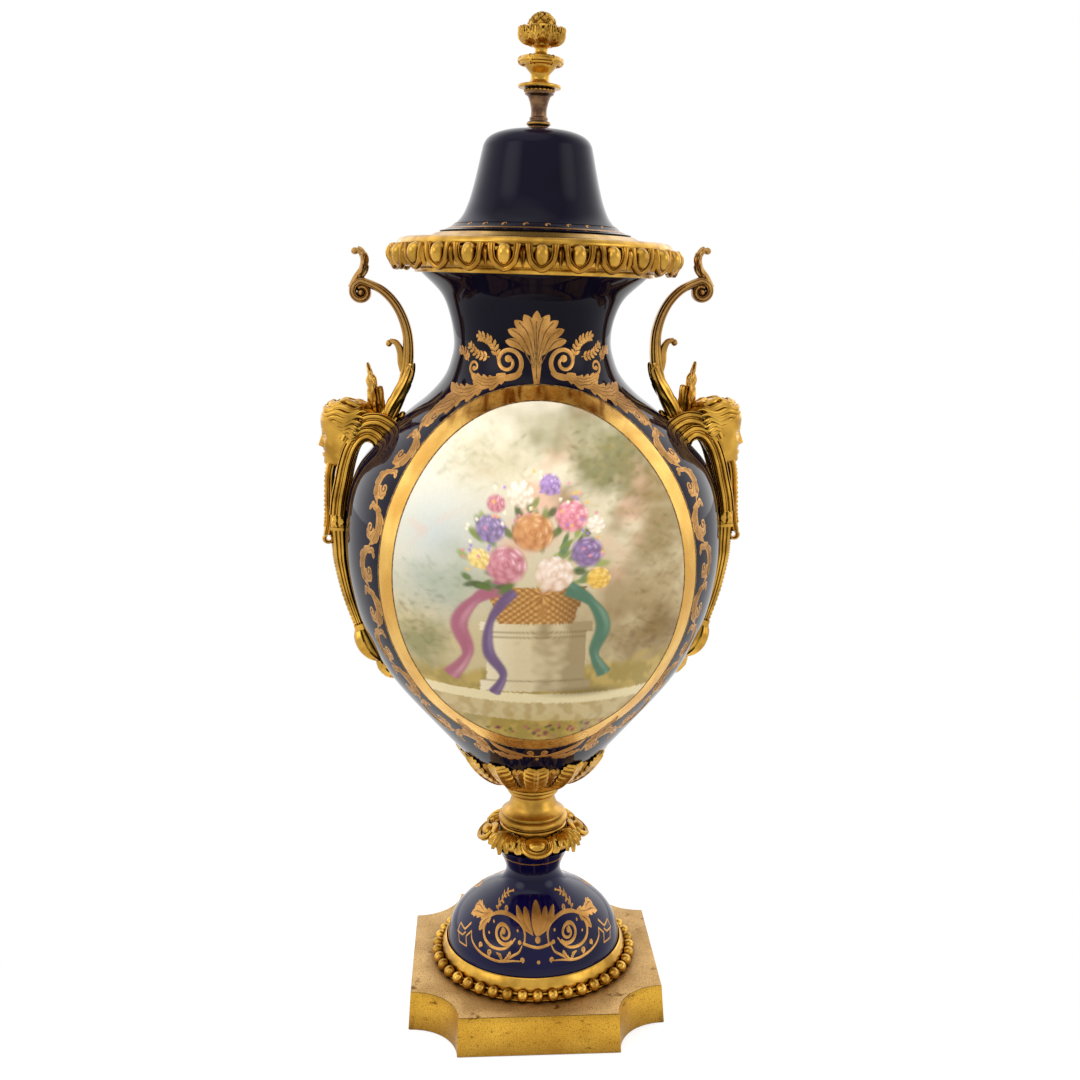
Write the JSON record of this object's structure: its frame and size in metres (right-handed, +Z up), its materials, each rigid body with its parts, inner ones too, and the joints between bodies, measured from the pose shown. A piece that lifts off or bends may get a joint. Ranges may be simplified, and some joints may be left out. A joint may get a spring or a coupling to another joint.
{
  "type": "mantel urn",
  "caption": "Tall covered porcelain vase on a domed foot and square plinth, with gilt-bronze rim, finial and mask-headed scroll handles.",
  "frame": {"origin": "centre of the plinth's underside", "axes": "+Z up, -Y to the front with the painted oval, handles along +X and -X"},
  "size_m": [0.359, 0.3148, 0.8398],
  "materials": {
    "gilt_bronze": "cast, chased and gilt, with dark recesses and burnished high spots",
    "gilt_bronze_plain": "cast and matt gilt, grainy, with small tarnish spots",
    "cobalt_porcelain": "deep blue glaze, glossy, with tooled gilding and a painted oval",
    "browned_brass": "brown patina, worn brighter on the edges"
  },
  "bodies": {
    "root": {"plinth": "gilt_bronze_plain", "bead_ring": "gilt_bronze", "foot": "cobalt_porcelain", "leaf_cap": "gilt_bronze", "socle": "gilt_bronze", "calyx": "gilt_bronze", "vase": "cobalt_porcelain", "handle_left": "gilt_bronze", "handle_right": "gilt_bronze", "rim": "gilt_bronze", "lid": "cobalt_porcelain", "finial_socket": "browned_brass", "finial": "gilt_bronze"}
  },
  "joints": []
}
